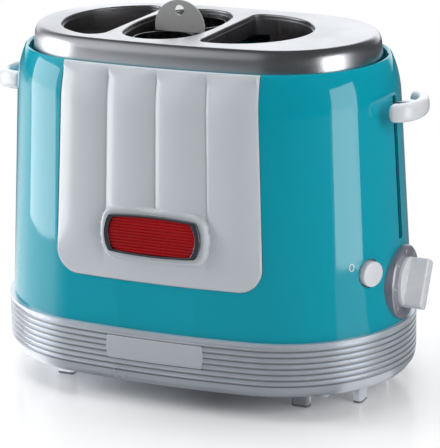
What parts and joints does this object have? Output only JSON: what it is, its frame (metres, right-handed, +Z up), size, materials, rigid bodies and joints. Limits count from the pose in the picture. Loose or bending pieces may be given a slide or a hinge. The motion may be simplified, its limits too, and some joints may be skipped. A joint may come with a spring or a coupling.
{
  "type": "hot dog toaster",
  "caption": "Oval toaster with two bun wells, a lift-out basket for sausages, a lever carriage, a browning dial, a cancel button and a crumb tray.",
  "frame": {"origin": "on the table under the middle of the housing", "axes": "+X towards the lever and dial, +Y towards the back, +Z up; the fluted panel faces -Y"},
  "size_m": [0.3181, 0.1858, 0.2607],
  "materials": {
    "base_silver": "satin silver plastic",
    "foot_rubber": "matt",
    "turquoise": "high gloss",
    "panel_white": "gloss off-white",
    "control_white": "gloss off-white",
    "dark_chrome": "dark chrome",
    "lens_red": "clear red over ribs",
    "cover_steel": "polished",
    "basket_steel": "satin",
    "liner_steel": "plain sheet",
    "mechanism_steel": "zinc plated",
    "mica": "mica sheet",
    "ribbon": "resistance ribbon",
    "copper_winding": "lacquered winding",
    "board_green": "circuit board",
    "black_plastic": "moulded"
  },
  "bodies": {
    "housing": {"base_housing": "base_silver", "foot_posts": "base_silver", "foot_pads": "foot_rubber", "name_plate": "base_silver", "cord_gland": "black_plastic", "base_screws": "mechanism_steel", "body_shell": "turquoise", "front_panel": "panel_white", "badge_bezel": "dark_chrome", "badge_lens": "lens_red", "top_cover": "cover_steel", "bun_collar_left": "liner_steel", "bun_collar_right": "liner_steel", "basket_collar": "liner_steel", "side_grip": "control_white", "dial_ring": "dark_chrome", "deck_plate": "liner_steel", "bun_liner_left": "liner_steel", "bun_liner_right": "liner_steel", "basket_liner": "liner_steel", "heater_board_left": "mica", "heater_board_right": "mica", "heater_ribbons_left": "ribbon", "heater_ribbons_right": "ribbon", "bun_guard_left": "mechanism_steel", "bun_guard_right": "mechanism_steel", "mechanism_plate": "mechanism_steel", "rod_bracket": "mechanism_steel", "guide_rod": "mechanism_steel", "magnet_yoke": "mechanism_steel", "magnet_coil": "copper_winding", "control_board": "board_green", "timer_pot": "black_plastic", "cancel_switch": "black_plastic", "terminal_block": "black_plastic"},
    "carriage": {"carriage_bracket": "mechanism_steel", "carriage_bush": "mechanism_steel", "bun_lifter_left": "mechanism_steel", "bun_lifter_right": "mechanism_steel", "basket_rest": "mechanism_steel", "keeper_plate": "mechanism_steel", "carriage_spring": "mechanism_steel", "lever_handle": "control_white"},
    "basket": {"sausage_basket": "basket_steel", "basket_handle": "basket_steel"},
    "knob": {"browning_knob": "control_white", "knob_shaft": "mechanism_steel"},
    "button": {"cancel_button": "control_white"},
    "tray": {"crumb_tray": "mechanism_steel"}
  },
  "joints": [
    {"name": "carriage_slide", "type": "slide", "parent": "housing", "child": "carriage", "axis": [0, 0, -1], "range_m": [0, 0.084], "stiffness_N_per_m": 60, "springref_m": -0.1, "deforming": ["carriage_spring"]},
    {"name": "basket_lift", "type": "slide", "parent": "carriage", "child": "basket", "axis": [0, 0, 1], "range_m": [0, 0.1]},
    {"name": "knob_turn", "type": "hinge", "parent": "housing", "child": "knob", "pos_m": [0.1452, 0, 0.079], "axis": [1, 0, 0], "range_deg": [-135, 135]},
    {"name": "button_press", "type": "slide", "parent": "housing", "child": "button", "axis": [-0.8988, 0.4384, 0], "range_m": [0, 0.0025], "stiffness_N_per_m": 400, "springref_m": -0.001},
    {"name": "tray_slide", "type": "slide", "parent": "housing", "child": "tray", "axis": [0, 1, 0], "range_m": [0, 0.15]}
  ]
}
